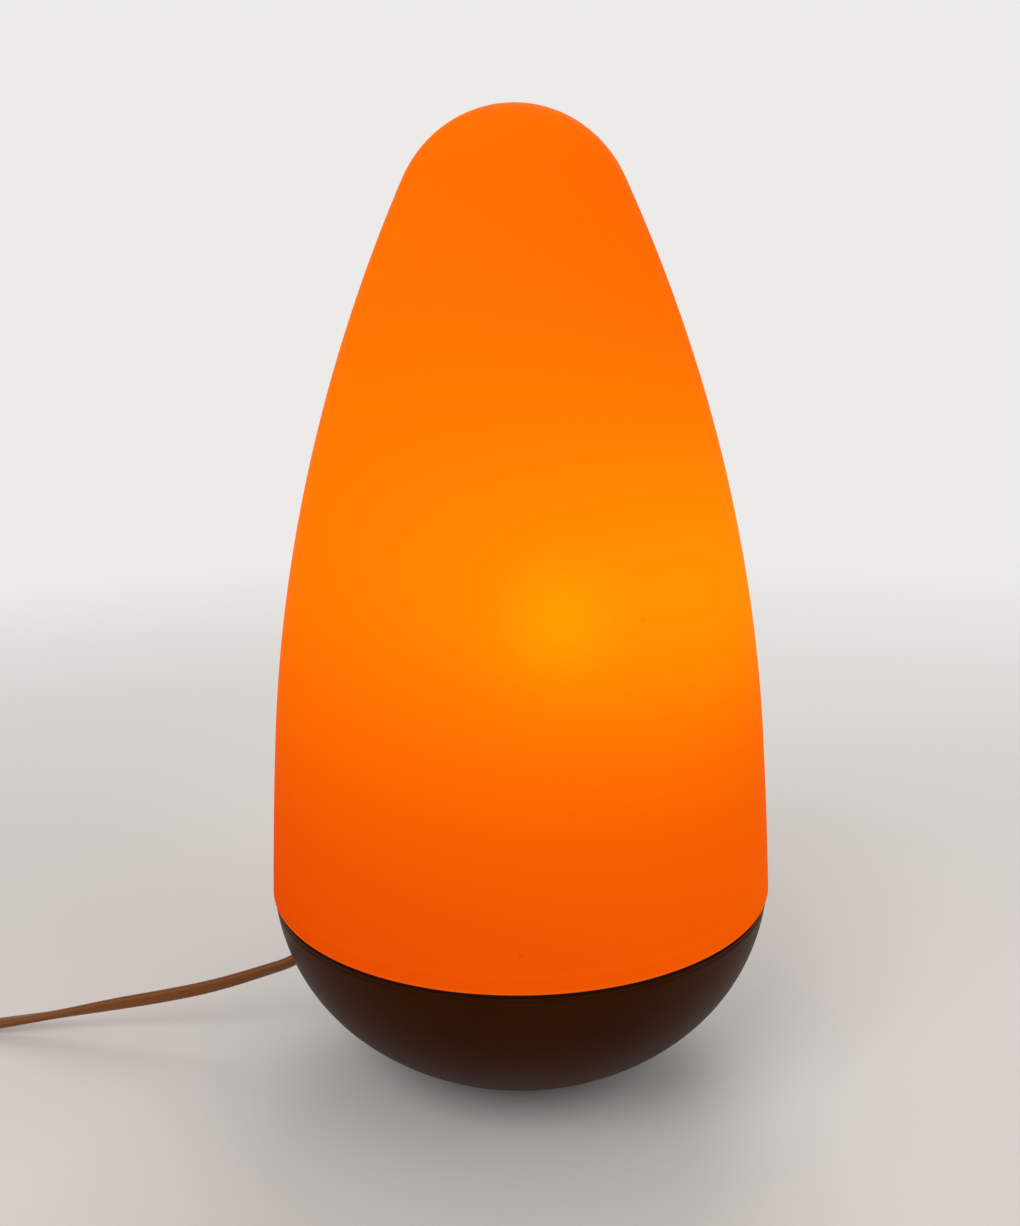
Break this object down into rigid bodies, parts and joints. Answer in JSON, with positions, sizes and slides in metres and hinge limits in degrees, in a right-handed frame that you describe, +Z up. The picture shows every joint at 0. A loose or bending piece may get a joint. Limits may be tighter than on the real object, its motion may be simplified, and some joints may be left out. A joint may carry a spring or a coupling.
{
  "type": "table lamp",
  "caption": "Egg-shaped opal glass table lamp that stands open end down on a dark bowl base, with lampholder, screw bulb, flex, rocker switch and plug.",
  "frame": {"origin": "middle of the felt foot on the table", "axes": "+Z up the axis of the glass, -Y towards the viewer of the picture, -X where the flex leaves the bowl"},
  "size_m": [0.503, 0.2213, 0.371],
  "materials": {
    "opal_glass": "satin opal glass, orange when lit",
    "bowl_paint": "satin dark brown paint",
    "felt": "black felt",
    "iron": "as cast",
    "plate_paint": "satin dark brown paint",
    "soft_ring": "black soft rubber",
    "zinc_steel": "zinc plated",
    "holder_plastic": "white moulded",
    "ceramic": null,
    "brass": "plain",
    "bulb_metal": "nickel look",
    "bulb_insulation": "black glass",
    "bulb_plastic": "white",
    "bulb_diffuser": "milky, lit",
    "flex_sheath": "brown sheath",
    "moulding": "dark brown moulded",
    "rocker_plastic": "dark brown",
    "pin_metal": "plain",
    "tie_plastic": "black tie",
    "lead_live_sheath": "brown",
    "lead_neutral_sheath": "blue"
  },
  "bodies": {
    "base": {"base_bowl": "bowl_paint", "foot_pad": "felt", "ballast_weight": "iron", "carrier_plate": "plate_paint", "shade_seat_ring": "soft_ring", "lamp_tube": "zinc_steel", "lamp_nuts": "zinc_steel", "lamp_washers": "zinc_steel", "cord_grip": "zinc_steel", "cord_grip_screws": "zinc_steel", "switch_screws": "zinc_steel", "switch_pin": "zinc_steel", "holder_cap": "holder_plastic", "holder_skirt": "holder_plastic", "holder_insert": "ceramic", "holder_screw_shell": "brass", "holder_contact": "brass", "holder_terminals": "brass", "switch_blades": "brass", "mains_flex": "flex_sheath", "flex_inside": "flex_sheath", "flex_to_coil": "flex_sheath", "flex_coil": "flex_sheath", "flex_to_plug": "flex_sheath", "cord_grommet": "moulding", "switch_lower": "moulding", "switch_upper": "moulding", "plug_body": "moulding", "plug_pins": "pin_metal", "flex_tie": "tie_plastic", "lead_live": "lead_live_sheath", "lead_neutral": "lead_neutral_sheath"},
    "shade": {"glass_shade": "opal_glass"},
    "bulb_lift": {"bulb_dome": "bulb_diffuser"},
    "bulb": {"bulb_tip": "bulb_metal", "bulb_insulator": "bulb_insulation", "bulb_cap": "bulb_metal", "bulb_body": "bulb_plastic"},
    "rocker": {"switch_rocker": "rocker_plastic"}
  },
  "joints": [
    {"name": "shade_lift", "type": "slide", "parent": "base", "child": "shade", "axis": [0, 0, 1], "range_m": [0, 0.15]},
    {"name": "bulb_rise", "type": "slide", "parent": "base", "child": "bulb_lift", "axis": [0, 0, 1], "range_m": [0, 0.0109]},
    {"name": "bulb_turn", "type": "hinge", "parent": "bulb_lift", "child": "bulb", "pos_m": [0, 0, 0.1269], "axis": [0, 0, 1], "range_deg": [0, 1080]},
    {"name": "switch_tip", "type": "hinge", "parent": "base", "child": "rocker", "pos_m": [-0.327, 0.002, 0.0133], "axis": [0, 1, 0], "range_deg": [-20, 0]}
  ],
  "couplings": [
    {"joint": "bulb_rise", "follows": "bulb_turn", "m_per_rad": 0.00057757}
  ]
}
